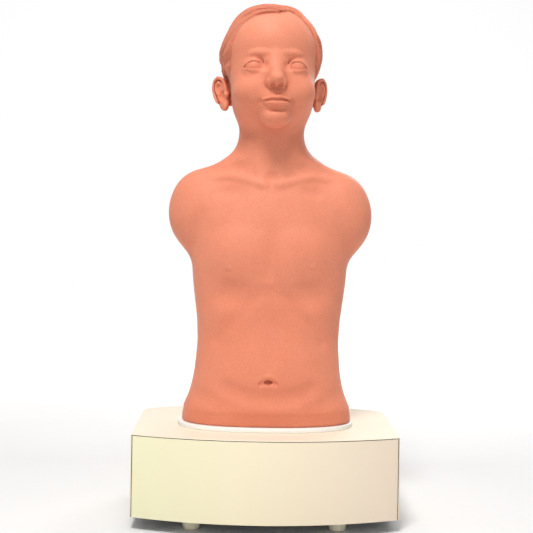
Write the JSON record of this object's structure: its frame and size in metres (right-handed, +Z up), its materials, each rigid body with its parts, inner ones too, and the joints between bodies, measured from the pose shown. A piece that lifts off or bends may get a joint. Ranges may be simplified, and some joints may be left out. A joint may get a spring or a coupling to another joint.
{
  "type": "child torso training mannequin",
  "caption": "Armless child-size head-and-torso mannequin with a soft matt skin over foam, lifting off a weighted box base on feet.",
  "frame": {"origin": "on the floor, under the middle of the base", "axes": "+Z up, the face looks along -Y, +X to its left hand side"},
  "size_m": [0.3688, 0.288, 0.7318],
  "materials": {
    "skin_vinyl": "matte soft vinyl",
    "cream_shell": "satin",
    "cream_panel": "satin",
    "cream_foot": "matte",
    "white_plate": "satin",
    "black_plastic": "matte",
    "grey_steel": "powder coat",
    "steel": "zinc plated",
    "iron": "painted",
    "plywood": "raw",
    "foam": "open-cell foam"
  },
  "bodies": {
    "base": {"base_cover": "cream_shell", "front_panel": "cream_panel", "panel_brackets": "steel", "panel_screws": "steel", "base_pan": "grey_steel", "pan_screws": "steel", "foot_front_left": "cream_foot", "foot_rear_left": "cream_foot", "foot_front_right": "cream_foot", "foot_rear_right": "cream_foot", "foot_washers": "steel", "foot_screws": "steel", "foot_nuts": "steel", "socket_bridge": "grey_steel", "bridge_bolts": "steel", "bridge_nuts": "steel", "socket_tube": "grey_steel", "socket_collar": "black_plastic", "support_board": "plywood", "board_posts": "steel", "post_screws": "steel", "ballast_left": "iron", "ballast_right": "iron", "ballast_bolts": "steel", "ballast_nuts": "steel"},
    "washer": {"hold_down_washer": "steel"},
    "knob": {"hold_down_bolt": "steel", "hold_down_knob": "black_plastic"},
    "torso": {"torso_plate": "white_plate", "skin": "skin_vinyl", "hem_ring": "grey_steel", "ring_screws": "steel", "torso_foam": "foam", "head_foam": "foam", "spine_tube": "grey_steel", "spine_flange": "grey_steel", "flange_bolts": "steel", "flange_nuts": "steel", "spigot_plug": "steel", "shoulder_bar": "grey_steel", "shoulder_discs": "black_plastic", "shoulder_pin": "steel", "spine_cap": "steel", "head_board": "plywood", "head_board_screw": "steel"}
  },
  "joints": [
    {"name": "torso_lift", "type": "slide", "parent": "base", "child": "torso", "axis": [0, 0, 1], "range_m": [0, 0.08]},
    {"name": "hold_down_travel", "type": "slide", "parent": "base", "child": "washer", "axis": [0, 0, -1], "range_m": [0, 0.013]},
    {"name": "hold_down_turn", "type": "hinge", "parent": "washer", "child": "knob", "pos_m": [0, -0.013, 0.03], "axis": [0, 0, -1], "range_deg": [0, 3740]}
  ],
  "couplings": [
    {"joint": "hold_down_travel", "follows": "hold_down_turn", "m_per_rad": 0.00019894}
  ]
}
